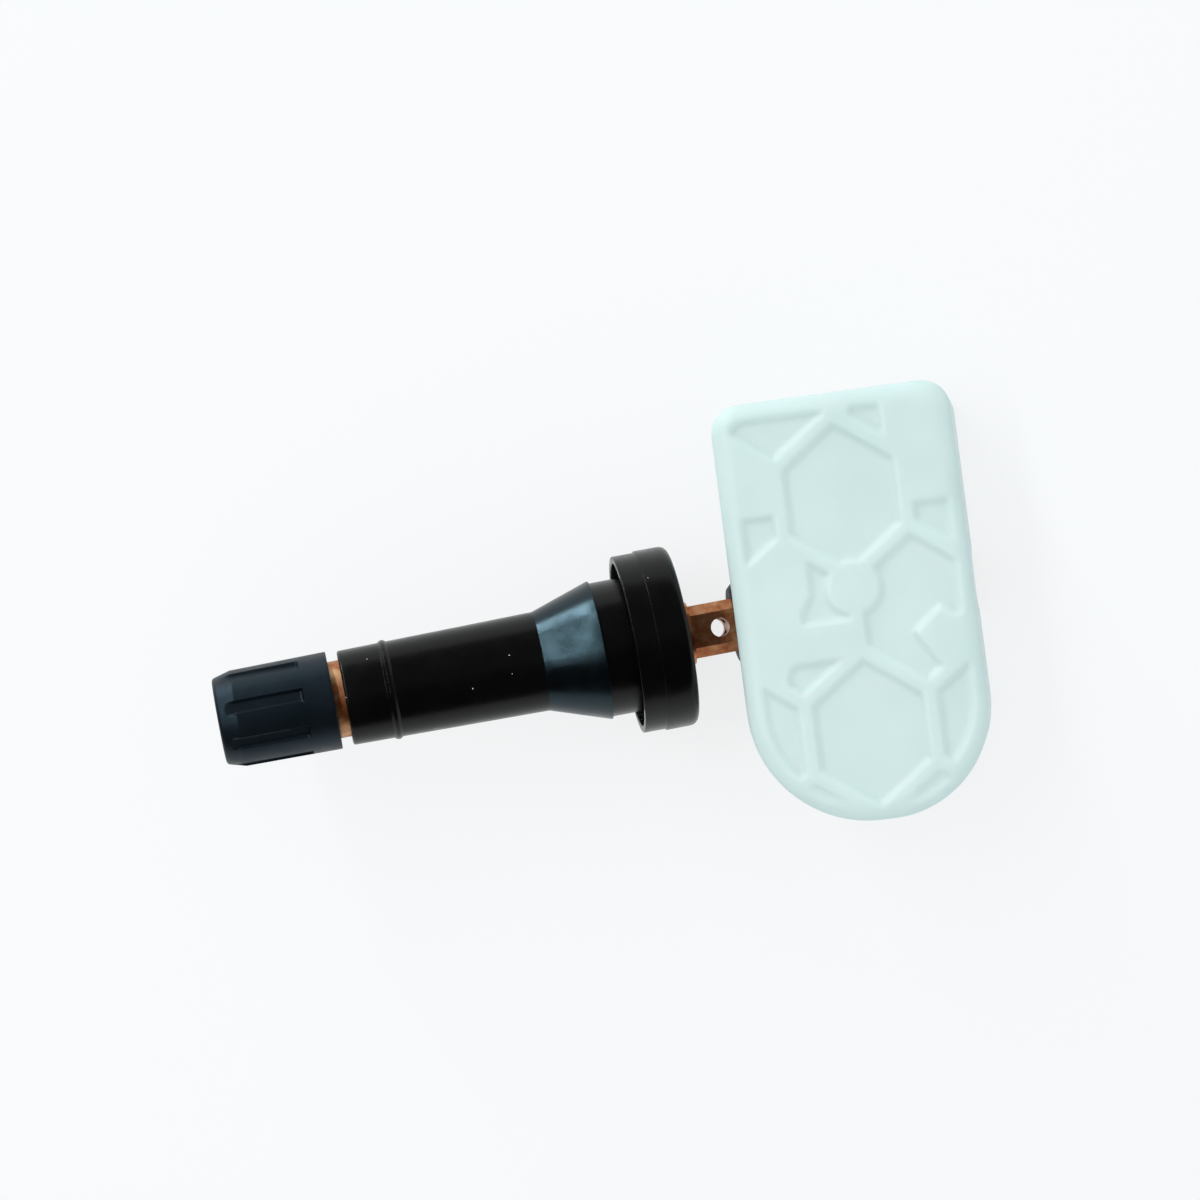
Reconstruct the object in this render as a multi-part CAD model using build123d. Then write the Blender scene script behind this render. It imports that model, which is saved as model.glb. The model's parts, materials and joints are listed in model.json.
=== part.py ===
from build123d import *
import math
import os

# Tyre pressure sensor with a snap-in rubber valve. Lengths are in millimetres, angles in degrees.
# The origin is the rim seat on the stem's axis, +X runs to the housing, +Z is the face's normal.
# Stem pieces are drawn along their own X axis, minus towards the cap, and then set at an angle.

# Stem against housing
STEM_TILT = 12.0
STEM_YAW = 3.4
WALL_AT = 11.72
STEM_OFFSET = 0.28
FLOOR_GAP = 0.08

# Rubber body
RIM_GROOVE = 2.8
CONE_LENGTH = 6.1
SLEEVE_LENGTH = 19.9
SLEEVE_TIP_R = 4.77
SLEEVE_ROOT_R = 5.03
SLEEVE_EDGE = 0.3
RING_FROM_TIP = 4.6
RING_WIDTH = 0.9
RING_RISE = 0.2
CONE_R = 7.07
NECK_R = 6.8
LIP_R = 9.0
LIP_THICKNESS = 0.7
LIP_DEPTH = 2.3
LIP_RECESS = 1.0
FLANGE_STEP = 0.15
FLANGE_DEPTH = 5.6
FLANGE_EDGE = 0.6

# Brass stem
THREAD_R = 3.875
THREAD_LENGTH = 10.3
THREAD_CHAMFER = 0.4
SHANK_R = 3.2
ANCHOR_R = 4.7
ANCHOR_COVER = 1.4
SHOULDER_R = 3.15
SHOULDER_LENGTH = 0.9
TANG_WIDTH = 5.3
TANG_CHAMFER = 1.0
TANG_IN_SOCKET = 4.7
VENT_R = 0.95
VENT_FROM_SHOULDER = 2.8
AIR_BORE_R = 1.2

# Dust cap
CAP_GAP = 1.1
CAP_OPEN_R = 4.93
CAP_NOSE_R = 4.83
CAP_END_R = 4.3
CAP_NOSE = 1.9
CAP_TOP = 1.4
CAP_BAND = 2.9
CAP_THREAD_FIT = 0.08
CAP_MOUTH_CHAMFER = 0.3
GROOVES = 8
GROOVE_WIDTH = 1.4
GROOVE_DEPTH = 0.4
GROOVE_TURN = 32.4
SEAL_THICKNESS = 0.9
SEAL_GAP = 0.1

# Valve core
CORE_BORE_R = 2.35
CORE_FIT = 0.05
MOUTH_FLARE = 0.3
PLUG_SINK = 0.8
PLUG_LENGTH = 4.2
PLUG_BLADE = 2.4
PLUG_BLADE_LENGTH = 1.8
BARREL_R = 1.65
BARREL_WALL = 0.45
BARREL_LENGTH = 12.5
SHELF_LENGTH = 1.2
SEAT_FROM_MOUTH = 5.6
SEAT_LENGTH = 2.0
CHAMBER_CLEARANCE = 0.2
GASKET_LENGTH = 1.4
PIN_R = 0.6
PIN_SINK = 0.2
PIN_CLEARANCE = 0.2
PIN_COLLAR = 0.5
COLLAR_CLEARANCE = 0.15
PIN_TRAVEL = 1.3
SPRING_WIRE_R = 0.15
SPRING_TURNS = 6
SPRING_WIRE_SIDES = 6
WASHER_THICKNESS = 0.5
WASHER_GAP = 0.05
CUP_DEPTH = 1.3
CUP_WALL = 0.2
CUP_END_CLEARANCE = 0.6

# Housing
HOUSING_WIDTH = 23.8
HOUSING_LENGTH = 42.5
HOUSING_DEPTH = 15.0
CORNER_R = 2.9
END_FLAT = 1.2
FACE_ROUND = 1.2
WALL = 1.4
FACE_THICKNESS = 1.8
RIM = 0.7
SEAM = 0.06
BASE_THICKNESS = 1.4
LUG_R = 5.2
SOCKET_FLOOR = 2.3
CHANNEL_WALL = 0.8
HEAD_CLEARANCE = 0.25

# Honeycomb relief on the face
HEX_COLUMN = 12.35
HEX_ROW = 11.7
HEX_TIP = 8.118
HEX_SHIFT_X = -0.1
HEX_SHIFT_Y = -0.75
RELIEF_SHIFT_X = 0.28
RELIEF_SHIFT_Y = -0.1
RIB = 1.15
BORDER = 1.52
RELIEF_DEPTH = 0.45
RELIEF_SLOPE = 45.0
RELIEF_CORNER_R = 1.5
SLOT_BORDER = 1.35
SLOT_DEPTH = 0.3
SMALLEST_CELL = 1.0
DISC_R = 2.55
DISC_UP = 2.67

# Corners of the filled and cut-down cells, from the relief's middle
TAB = [(7.93, -6.9), (5.5, -3.2), (8.1, -1.1), (9.3, -2.0), (12.5, -2.0), (12.5, -6.9)]
WAIST = [(-4.5, 8.0), (-4.5, 1.6), (-5.6, 0.1), (-5.6, -1.25), (0.0, -1.25), (0.0, 8.0)]
TOE = [(-6.8, -4.85), (0.0, -4.85), (0.0, -9.0), (-7.7, -9.0), (-7.7, -5.95)]
TOP_LEFT_STOP = 1.55
TOP_RIGHT_STOP = 4.8
LEFT_STOP = 10.0
RIGHT_STOP = 9.6

# Collar and screw
COLLAR_R = 4.1
COLLAR_FLANGE = 2.4
COLLAR_PROUD = 0.75
COLLAR_EDGE = 0.4
COLLAR_SLEEVE_R = 3.7
COLLAR_SLEEVE = 3.0
COLLAR_FIT = 0.06
SCREW_R = 1.5
SCREW_BITE = 4.0
SCREW_FIT = 0.03
SCREW_HEAD_R = 2.75
SCREW_HEAD = 1.9
SCREW_HEAD_EDGE = 0.7
SCREW_HOLE_FIT = 0.15
DRIVE_R = 0.95
DRIVE_LOBE_R = 0.36
DRIVE_DEPTH = 1.1

# Electronics
BOARD_DROP = 1.15
BOARD_THICKNESS = 1.0
BOARD_GAP = 0.3
POST_R = 1.2
POST_PIN_R = 0.7
POST_PIN_FIT = 0.1
POST_PIN_PROUD = 0.4
POST_INSET = 2.4
CELL_R = 6.25
CELL_HEIGHT = 2.5
CELL_DROP = 0.6
CELL_SIDE_GAP = 1.2
CELL_EDGE = 0.3
TAB_STRIP_WIDTH = 4.0
TAB_STRIP = 0.25
TAB_REACH = 0.8
CHIP_SIZE = 6.4
CHIP_HEIGHT = 2.0
CHIP_X = -4.6
CHIP_Y = 10.6
PORT_R = 0.8
PORT_DEPTH = 0.8
PORT_GASKET_R = 2.0
PORT_GASKET = 1.5
CRYSTAL_X = 1.6
CRYSTAL_Y = 11.6
CRYSTAL_WIDTH = 2.5
CRYSTAL_LENGTH = 3.2
CRYSTAL_HEIGHT = 0.9
COIL_X = 6.2
COIL_Y = 10.6
COIL_LENGTH = 7.6
COIL_SIZE = 3.0
COIL_ROD = 1.8
COIL_FLANGE = 1.1
COIL_WIRE_SINK = 0.15
ANTENNA_Y = 15.4
ANTENNA_SPAN = 12.0
ANTENNA_HEIGHT = 4.0
ANTENNA_STRIP = 0.4
ANTENNA_WIDTH = 1.4
CAPACITORS = 3
CAPACITOR_LENGTH = 1.6
CAPACITOR_SIZE = 0.8
CAPACITOR_PITCH = 1.9
CAPACITOR_X = -2.2
CAPACITOR_Y = -4.6
POTTING_AIR = 0.6

# Stations along the stem
CONE_WIDE = -RIM_GROOVE
CONE_NARROW = CONE_WIDE - CONE_LENGTH
SLEEVE_TIP = CONE_NARROW - SLEEVE_LENGTH
STEM_MOUTH = SLEEVE_TIP - THREAD_LENGTH
CAP_OPEN = SLEEVE_TIP - CAP_GAP
SEAL_BACK = STEM_MOUTH - SEAL_THICKNESS
CAP_INSIDE = SEAL_BACK - SEAL_GAP
CAP_CLOSED = CAP_INSIDE - CAP_TOP
SHOULDER_END = FLANGE_DEPTH + SHOULDER_LENGTH
VENT_AT = SHOULDER_END + VENT_FROM_SHOULDER
TANG_END = WALL_AT + TANG_IN_SOCKET
LUG_END = TANG_END + SOCKET_FLOOR
FLANGE_R = LIP_R + FLANGE_STEP

# Stations along the valve core
PLUG_TOP = STEM_MOUTH + PLUG_SINK
PLUG_END = PLUG_TOP + PLUG_LENGTH
BARREL_BORE_R = BARREL_R - BARREL_WALL
BARREL_END = PLUG_END + BARREL_LENGTH
SHELF = BARREL_END - SHELF_LENGTH
SEAT_WIDE = STEM_MOUTH + SEAT_FROM_MOUTH
SEAT_NARROW = SEAT_WIDE + SEAT_LENGTH
CHAMBER_R = BARREL_R + CHAMBER_CLEARANCE
PIN_TIP = STEM_MOUTH + PIN_SINK
PIN_HOLE_R = PIN_R + PIN_CLEARANCE
PIN_COLLAR_TOP = PLUG_END + PIN_TRAVEL / 2
PIN_COLLAR_END = PIN_COLLAR_TOP + PIN_COLLAR
PIN_COLLAR_R = BARREL_BORE_R - COLLAR_CLEARANCE
SPRING_R = (PIN_R + BARREL_BORE_R) / 2
WASHER_TOP = BARREL_END + WASHER_GAP
WASHER_END = WASHER_TOP + WASHER_THICKNESS
CUP_END = WASHER_TOP + CUP_DEPTH
CHAMBER_END = CUP_END + PIN_TRAVEL + CUP_END_CLEARANCE

# Stem direction, and the housing's place and levels in the part's frame
TILT = math.radians(STEM_TILT)
YAW = math.radians(STEM_YAW)
ALONG = Vector(math.cos(TILT) * math.cos(YAW), math.cos(TILT) * math.sin(YAW), -math.sin(TILT))
ABOVE = Vector(math.sin(TILT) * math.cos(YAW), math.sin(TILT) * math.sin(YAW), math.cos(TILT))
STEM = Plane(origin=(0, 0, 0), x_dir=ALONG, z_dir=ABOVE).location
ENTRY = ALONG * WALL_AT
CENTRE_X = ENTRY.X + HOUSING_WIDTH / 2
CENTRE_Y = ENTRY.Y + STEM_OFFSET
FLANGE_LOW = FLANGE_R * math.cos(TILT) + (FLANGE_DEPTH - FLANGE_EDGE) * math.sin(TILT)
BACK = -FLANGE_LOW - FLOOR_GAP
FACE = BACK + HOUSING_DEPTH
CEILING = FACE - FACE_THICKNESS
BASE_TOP = BACK + BASE_THICKNESS
BOARD_TOP = CEILING - BOARD_DROP
BOARD_UNDER = BOARD_TOP - BOARD_THICKNESS
CELL_TOP = BOARD_UNDER - CELL_DROP
CELL_UNDER = CELL_TOP - CELL_HEIGHT
CHIP_UNDER = BOARD_UNDER - CHIP_HEIGHT
PORT_TOP = CHIP_UNDER - PORT_GASKET
POTTING_LEVEL = BASE_TOP + POTTING_AIR
HALF_WIDTH = HOUSING_WIDTH / 2
HALF_LENGTH = HOUSING_LENGTH / 2
ROUND_Y = HALF_WIDTH - HALF_LENGTH
CELL_Y = ROUND_Y - (HALF_WIDTH - WALL - CELL_R - CELL_SIDE_GAP)
CHANNEL_R = SCREW_HEAD_R + HEAD_CLEARANCE
CHANNEL_OUTER_R = CHANNEL_R + CHANNEL_WALL
BEYOND = HOUSING_WIDTH + HOUSING_DEPTH


def corners_at(sketch, spots):
    """The sketch's corners nearest the given spots."""
    return [min(sketch.vertices(), key=lambda v: (Vector(v) - Vector(*spot)).length) for spot in spots]


def profile(points):
    """Flat half-section from (distance along the stem, radius) points."""
    return make_face(Polyline(*points, close=True))


def turned(points):
    """Solid turned about the stem's axis."""
    return revolve(profile(points), Axis.X)


def rod(start, end, radius):
    """Plain cylinder along the stem's axis."""
    return turned([(start, 0), (start, radius), (end, radius), (end, 0)])


def ring(start, end, inner, outer):
    """Plain tube along the stem's axis."""
    return turned([(start, inner), (start, outer), (end, outer), (end, inner)])


def tang_section(gap=0.0):
    """Chamfered square of the tang, widened all round by a gap."""
    side = TANG_WIDTH + 2 * gap
    return chamfer(Rectangle(side, side).vertices(), TANG_CHAMFER)


def stem_bar(section, start, end):
    """Bar of the given cross-section along the stem's axis."""
    return extrude(Plane.YZ.offset(start) * section, end - start)


# Rubber stem and its brass core


def stem_blank():
    """Outside of the brass stem from its mouth to the end of the tang, without bores."""
    body = turned(
        [
            (STEM_MOUTH, 0),
            (STEM_MOUTH, THREAD_R - THREAD_CHAMFER),
            (STEM_MOUTH + THREAD_CHAMFER, THREAD_R),
            (SLEEVE_TIP, THREAD_R),
            (SLEEVE_TIP, SHANK_R),
            (ANCHOR_COVER, SHANK_R),
            (ANCHOR_COVER, ANCHOR_R),
            (FLANGE_DEPTH - ANCHOR_COVER, ANCHOR_R),
            (FLANGE_DEPTH - ANCHOR_COVER, SHOULDER_R),
            (SHOULDER_END, SHOULDER_R),
            (SHOULDER_END, 0),
        ]
    )
    return body + stem_bar(tang_section(), SHOULDER_END, TANG_END)


def valve_stem():
    bore = turned(
        [
            (STEM_MOUTH, 0),
            (STEM_MOUTH, CORE_BORE_R + MOUTH_FLARE),
            (STEM_MOUTH + MOUTH_FLARE, CORE_BORE_R),
            (SEAT_WIDE, CORE_BORE_R),
            (SEAT_NARROW, CHAMBER_R),
            (CHAMBER_END, CHAMBER_R),
            (CHAMBER_END + CHAMBER_R - AIR_BORE_R, AIR_BORE_R),
            (VENT_AT + VENT_R, AIR_BORE_R),
            (VENT_AT + VENT_R, 0),
        ]
    )
    vent = Pos(VENT_AT, 0, 0) * Cylinder(VENT_R, 2 * TANG_WIDTH)
    tapping = rod(TANG_END - SCREW_BITE, TANG_END, SCREW_R + SCREW_FIT)
    return STEM * (stem_blank() - bore - vent - tapping)


def rubber_body():
    ring_at = SLEEVE_TIP + RING_FROM_TIP
    slope = (SLEEVE_ROOT_R - SLEEVE_TIP_R) / SLEEVE_LENGTH
    ring_r = SLEEVE_TIP_R + slope * RING_FROM_TIP
    lip_inner = LIP_R - LIP_THICKNESS
    section = profile(
        [
            (SLEEVE_TIP, 0),
            (SLEEVE_TIP, SLEEVE_TIP_R),
            (ring_at - RING_WIDTH / 2, ring_r),
            (ring_at - RING_WIDTH / 6, ring_r + RING_RISE),
            (ring_at + RING_WIDTH / 6, ring_r + RING_RISE),
            (ring_at + RING_WIDTH / 2, ring_r),
            (CONE_NARROW, SLEEVE_ROOT_R),
            (CONE_WIDE, CONE_R),
            (CONE_WIDE, NECK_R),
            (LIP_RECESS, NECK_R),
            (LIP_RECESS, lip_inner),
            (0, lip_inner),
            (0, LIP_R),
            (LIP_DEPTH, LIP_R),
            (LIP_DEPTH, FLANGE_R),
            (FLANGE_DEPTH, FLANGE_R),
            (FLANGE_DEPTH, 0),
        ]
    )
    section = chamfer(corners_at(section, [(SLEEVE_TIP, SLEEVE_TIP_R)]), SLEEVE_EDGE)
    section = chamfer(corners_at(section, [(FLANGE_DEPTH, FLANGE_R)]), FLANGE_EDGE)
    return STEM * (revolve(section, Axis.X) - stem_blank())


def valve_cap():
    section = [
        (CAP_CLOSED, 0),
        (CAP_CLOSED, CAP_END_R),
        (CAP_CLOSED + CAP_NOSE, CAP_NOSE_R),
        (CAP_OPEN, CAP_OPEN_R),
        (CAP_OPEN, THREAD_R + CAP_THREAD_FIT + CAP_MOUTH_CHAMFER),
        (CAP_OPEN - CAP_MOUTH_CHAMFER, THREAD_R + CAP_THREAD_FIT),
        (CAP_INSIDE, THREAD_R + CAP_THREAD_FIT),
        (CAP_INSIDE, 0),
    ]
    band_start = CAP_OPEN - CAP_BAND
    groove_length = band_start - CAP_CLOSED
    groove = Pos(CAP_CLOSED + groove_length / 2, 0, CAP_OPEN_R) * Box(
        groove_length, GROOVE_WIDTH, 2 * GROOVE_DEPTH
    )
    turns = [GROOVE_TURN + i * 360 / GROOVES for i in range(GROOVES)]
    return STEM * (turned(section) - [Rot(turn, 0, 0) * groove for turn in turns])


def cap_seal():
    return STEM * rod(SEAL_BACK, STEM_MOUTH, THREAD_R)


# Valve core inside the stem's mouth


def core_plug():
    plug = ring(PLUG_TOP, PLUG_END, PIN_HOLE_R, CORE_BORE_R - CORE_FIT)
    blade_end = PLUG_TOP + PLUG_BLADE_LENGTH
    side = Box(2 * PLUG_BLADE_LENGTH, CORE_BORE_R, 2 * CORE_BORE_R)
    shift = PLUG_BLADE / 2 + CORE_BORE_R / 2
    sides = [Pos(blade_end - PLUG_BLADE_LENGTH, way * shift, 0) * side for way in (-1, 1)]
    return STEM * (plug - sides)


def core_barrel():
    return STEM * turned(
        [
            (PLUG_END, BARREL_BORE_R),
            (PLUG_END, BARREL_R),
            (BARREL_END, BARREL_R),
            (BARREL_END, PIN_HOLE_R),
            (SHELF, PIN_HOLE_R),
            (SHELF, BARREL_BORE_R),
        ]
    )


def seat_radius(at):
    """Radius of the tapered seat in the stem's bore."""
    return CORE_BORE_R + (CHAMBER_R - CORE_BORE_R) * (at - SEAT_WIDE) / SEAT_LENGTH


def core_gasket():
    start = SEAT_WIDE + (SEAT_LENGTH - GASKET_LENGTH) / 2
    end = start + GASKET_LENGTH
    return STEM * turned(
        [
            (start, BARREL_R),
            (start, seat_radius(start) - CORE_FIT),
            (end, seat_radius(end) - CORE_FIT),
            (end, BARREL_R),
        ]
    )


def core_pin():
    return STEM * (rod(PIN_TIP, CUP_END, PIN_R) + rod(PIN_COLLAR_TOP, PIN_COLLAR_END, PIN_COLLAR_R))


def core_cup():
    return STEM * turned(
        [
            (WASHER_END, PIN_R),
            (WASHER_END, BARREL_R - CUP_WALL),
            (WASHER_TOP + CUP_WALL, BARREL_R - CUP_WALL),
            (WASHER_TOP + CUP_WALL, BARREL_R),
            (CUP_END, BARREL_R),
            (CUP_END, PIN_R),
        ]
    )


def core_washer():
    return STEM * ring(WASHER_TOP, WASHER_END, PIN_R, BARREL_R - CUP_WALL)


def core_spring():
    start = PIN_COLLAR_END + SPRING_WIRE_R
    height = SHELF - SPRING_WIRE_R - start
    coil = Helix(height / SPRING_TURNS, height, SPRING_R)
    section = RegularPolygon(SPRING_WIRE_R, SPRING_WIRE_SIDES)
    wire = sweep(Plane(coil @ 0, z_dir=coil % 0) * section, coil, is_frenet=True)
    return STEM * Pos(start, 0, 0) * Rot(0, 90, 0) * wire


# Housing


def outline(inset, corner_r=None):
    """Housing outline, moved inwards: square end with rounded corners, round end fuller on the right."""
    half = HALF_WIDTH - inset
    top = HALF_LENGTH - inset
    full_r = half - END_FLAT
    full_y = full_r - top
    sides = Polyline((-half, ROUND_Y), (-half, top), (half, top), (half, full_y))
    full_side = CenterArc((END_FLAT, full_y), full_r, 0, -90)
    flat = Line((END_FLAT, -top), (0, -top))
    round_side = CenterArc((0, ROUND_Y), half, -90, -90)
    face = make_face([sides, full_side, flat, round_side])
    return fillet(corners_at(face, [(-half, top), (half, top)]), corner_r or CORNER_R - inset)


def honeycomb_limit():
    """Outline that the honeycomb stays inside, with a plain half-round end."""
    half = HALF_WIDTH - BORDER
    reach = Pos(0, ROUND_Y) * Circle(half) + block(-half, ROUND_Y, half, HALF_LENGTH)
    return outline(BORDER, RELIEF_CORNER_R) & reach


def prism(sketch, low, high):
    """Straight block over a sketch that is drawn round the housing's centre."""
    return Pos(CENTRE_X, CENTRE_Y, low) * extrude(sketch, high - low)


def hung(sketch, top, height):
    """Block that hangs down from a level inside the housing."""
    return prism(sketch, top - height, top)


def u_bar(radius, start, end):
    """Bar along the stem's axis with a round top and straight sides down past the back."""
    section = Circle(radius) + Pos(0, -HOUSING_DEPTH / 2) * Rectangle(2 * radius, HOUSING_DEPTH)
    return STEM * stem_bar(section, start, end)


def lug_bar(gap=0.0):
    """Space of the lug that holds the stem, widened by a gap."""
    return u_bar(LUG_R + gap, 0, LUG_END + gap)


def channel_bar(radius):
    """Space along the driver channel, from the lug to past the far wall."""
    return u_bar(radius, LUG_END, LUG_END + BEYOND)


def hexagon(column, row):
    """Recess outline of one honeycomb cell, with half a rib taken off all round."""
    slope = (2 * HEX_TIP - HEX_ROW) / (HEX_COLUMN / 2)
    half = (HEX_COLUMN - RIB) / 2
    tip = HEX_TIP - RIB / 2 * math.hypot(1, slope)
    side = tip - half * slope
    corners = [(0, tip), (-half, side), (-half, -side), (0, -tip), (half, -side), (half, side)]
    centre = Pos(HEX_SHIFT_X + column * HEX_COLUMN, HEX_SHIFT_Y + row * HEX_ROW)
    return centre * make_face(Polyline(*corners, close=True))


def block(left, low, right, high):
    """Rectangle between two corners."""
    return Pos((left + right) / 2, (low + high) / 2) * Rectangle(right - left, high - low)


def polygon(corners):
    return make_face(Polyline(*corners, close=True))


def relief_cells():
    """Outlines of the honeycomb's recesses: whole cells, and cells cut down by flush pads."""
    disc = Pos(HEX_SHIFT_X, HEX_SHIFT_Y + DISC_UP) * Circle(DISC_R)
    left = hexagon(-0.5, 0)
    return [
        hexagon(0, 1) - disc,
        hexagon(0, -1),
        hexagon(0.5, 0) - disc - polygon(TAB),
        (left & polygon(WAIST)) - disc,
        left & polygon(TOE),
        hexagon(-0.5, 2),
        hexagon(0.5, 2) & block(TOP_LEFT_STOP, 0, TOP_RIGHT_STOP, HALF_LENGTH),
        hexagon(-1, 1) & block(-HALF_WIDTH, 0, 0, LEFT_STOP),
        hexagon(1, 1) & block(0, 0, HALF_WIDTH, RIGHT_STOP),
        hexagon(-1, -1),
        hexagon(1, -1),
    ]


def recesses(cells, limit, depth):
    """Cutters for the parts of the cells inside a limit, narrower at the bottom."""
    faces = [face for cell in cells for face in (cell & limit).faces() if face.area > SMALLEST_CELL]
    cutters = [mirror(extrude(face, depth, taper=RELIEF_SLOPE), about=Plane.XY) for face in faces]
    middle = Pos(CENTRE_X + RELIEF_SHIFT_X, CENTRE_Y + RELIEF_SHIFT_Y, FACE)
    return [middle * cutter for cutter in cutters]


def relief():
    """The whole face: the honeycomb, and two narrow slots in the round end."""
    honeycomb = recesses(relief_cells(), honeycomb_limit(), RELIEF_DEPTH)
    slot_cells = [hexagon(-0.5, -2), hexagon(0.5, -2)]
    slots = recesses(slot_cells, outline(SLOT_BORDER, RELIEF_CORNER_R), SLOT_DEPTH)
    return honeycomb + slots


def post_places():
    """Places of the board's posts round the housing's centre."""
    across = HALF_WIDTH - WALL - POST_INSET
    return [(way * across, y) for way in (-1, 1) for y in (HALF_LENGTH - WALL - POST_INSET, ROUND_Y)]


def board_posts():
    """Stepped posts under the face: the board sits on the step, with the pin through it."""
    posts = []
    for x, y in post_places():
        post = hung(Pos(x, y) * Circle(POST_R), CEILING, BOARD_DROP)
        posts.append(post + post_pin(x, y))
    return posts


def post_pin(x, y):
    return hung(Pos(x, y) * Circle(POST_PIN_R), CEILING, CEILING - BOARD_UNDER + POST_PIN_PROUD)


def housing_shell():
    body = prism(outline(0), BACK, FACE)
    body = fillet(body.faces().sort_by(Axis.Z)[-1].edges(), FACE_ROUND)
    body -= prism(outline(WALL), BACK, CEILING)
    body -= prism(outline(RIM), BACK, BASE_TOP)
    body -= [lug_bar(SEAM), channel_bar(CHANNEL_OUTER_R + SEAM)]
    return (body - relief()) + board_posts()


def housing_base():
    envelope = prism(outline(0), BACK, FACE)
    plate = prism(outline(RIM + SEAM), BACK, BASE_TOP)
    boss = prism(Pos(CHIP_X, CHIP_Y) * Circle(PORT_GASKET_R), BASE_TOP, PORT_TOP)
    base = plate + boss + (lug_bar() & envelope) + (channel_bar(CHANNEL_OUTER_R) & envelope)
    flange_end = WALL_AT - COLLAR_PROUD + COLLAR_FLANGE
    base -= channel_bar(CHANNEL_R)
    base -= STEM * rod(0, flange_end, COLLAR_R + COLLAR_FIT)
    base -= STEM * rod(flange_end, TANG_END, COLLAR_SLEEVE_R + COLLAR_FIT)
    base -= STEM * rod(TANG_END, LUG_END, SCREW_R + SCREW_HOLE_FIT)
    return base - prism(Pos(CHIP_X, CHIP_Y) * Circle(PORT_R), BACK, PORT_TOP)


def stem_collar():
    front = WALL_AT - COLLAR_PROUD
    seat = front + COLLAR_FLANGE
    bush = turned(
        [
            (front, 0),
            (front, COLLAR_R - COLLAR_EDGE),
            (front + COLLAR_EDGE, COLLAR_R),
            (seat, COLLAR_R),
            (seat, COLLAR_SLEEVE_R),
            (seat + COLLAR_SLEEVE, COLLAR_SLEEVE_R),
            (seat + COLLAR_SLEEVE, 0),
        ]
    )
    return STEM * (bush - stem_bar(tang_section(COLLAR_FIT), 0, TANG_END))


def sensor_screw():
    head_end = LUG_END + SCREW_HEAD
    section = profile(
        [
            (TANG_END - SCREW_BITE, 0),
            (TANG_END - SCREW_BITE, SCREW_R),
            (LUG_END, SCREW_R),
            (LUG_END, SCREW_HEAD_R),
            (head_end, SCREW_HEAD_R),
            (head_end, 0),
        ]
    )
    section = chamfer(corners_at(section, [(head_end, SCREW_HEAD_R)]), SCREW_HEAD_EDGE)
    lobes = [Rot(0, 0, 60 * i) * Pos(DRIVE_R, 0) * Circle(DRIVE_LOBE_R) for i in range(6)]
    drive = stem_bar(Circle(DRIVE_R) + lobes, head_end - DRIVE_DEPTH, head_end)
    return STEM * (revolve(section, Axis.X) - drive)


# Electronics


def circuit_board():
    board = prism(outline(WALL + BOARD_GAP), BOARD_UNDER, BOARD_TOP)
    board -= [lug_bar(BOARD_GAP), channel_bar(CHANNEL_OUTER_R + BOARD_GAP)]
    holes = [Pos(x, y) * Circle(POST_PIN_R + POST_PIN_FIT) for x, y in post_places()]
    return board - [hung(hole, BOARD_TOP, BOARD_THICKNESS) for hole in holes]


def coin_cell():
    cell = hung(Pos(0, CELL_Y) * Circle(CELL_R), CELL_TOP, CELL_HEIGHT)
    return chamfer(cell.edges().filter_by(GeomType.CIRCLE), CELL_EDGE)


def battery_tab(way, level):
    """Metal strip welded to the cell, with a leg up to the board."""
    reach = CELL_R + TAB_REACH
    strip = block(-CELL_R / 2, -TAB_STRIP_WIDTH / 2, reach + TAB_STRIP, TAB_STRIP_WIDTH / 2)
    leg = block(reach, -TAB_STRIP_WIDTH / 2, reach + TAB_STRIP, TAB_STRIP_WIDTH / 2)
    turn = Pos(0, CELL_Y) * Rot(0, 0, 0 if way > 0 else 180)
    return prism(turn * strip, level, level + TAB_STRIP) + prism(turn * leg, level, BOARD_UNDER)


def battery_tab_top():
    return battery_tab(1, CELL_TOP)


def battery_tab_bottom():
    return battery_tab(-1, CELL_UNDER - TAB_STRIP)


def chip_body():
    return hung(Pos(CHIP_X, CHIP_Y) * Rectangle(CHIP_SIZE, CHIP_SIZE), BOARD_UNDER, CHIP_HEIGHT)


def sensor_chip():
    return chip_body() - prism(Pos(CHIP_X, CHIP_Y) * Circle(PORT_R), CHIP_UNDER, CHIP_UNDER + PORT_DEPTH)


def port_gasket():
    tube = Circle(PORT_GASKET_R) - Circle(PORT_R)
    return prism(Pos(CHIP_X, CHIP_Y) * tube, PORT_TOP, CHIP_UNDER)


def timing_crystal():
    can = RectangleRounded(CRYSTAL_WIDTH, CRYSTAL_LENGTH, CRYSTAL_WIDTH / 4)
    return hung(Pos(CRYSTAL_X, CRYSTAL_Y) * can, BOARD_UNDER, CRYSTAL_HEIGHT)


def coil_rod(size, length):
    """Square bar along the coil's length, centred on the coil."""
    centre = BOARD_UNDER - COIL_SIZE / 2
    return Pos(CENTRE_X + COIL_X, CENTRE_Y + COIL_Y, centre) * Box(size, length, size)


def wake_coil_core():
    ends = []
    for way in (-1, 1):
        shift = way * (COIL_LENGTH - COIL_FLANGE) / 2
        ends.append(Pos(0, shift, 0) * coil_rod(COIL_SIZE, COIL_FLANGE))
    return coil_rod(COIL_ROD, COIL_LENGTH) + ends


def wake_coil_winding():
    length = COIL_LENGTH - 2 * COIL_FLANGE
    outside = coil_rod(COIL_SIZE - 2 * COIL_WIRE_SINK, length)
    outside = fillet(outside.edges().filter_by(Axis.Y), (COIL_SIZE - COIL_ROD) / 4)
    return outside - coil_rod(COIL_ROD, length)


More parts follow.
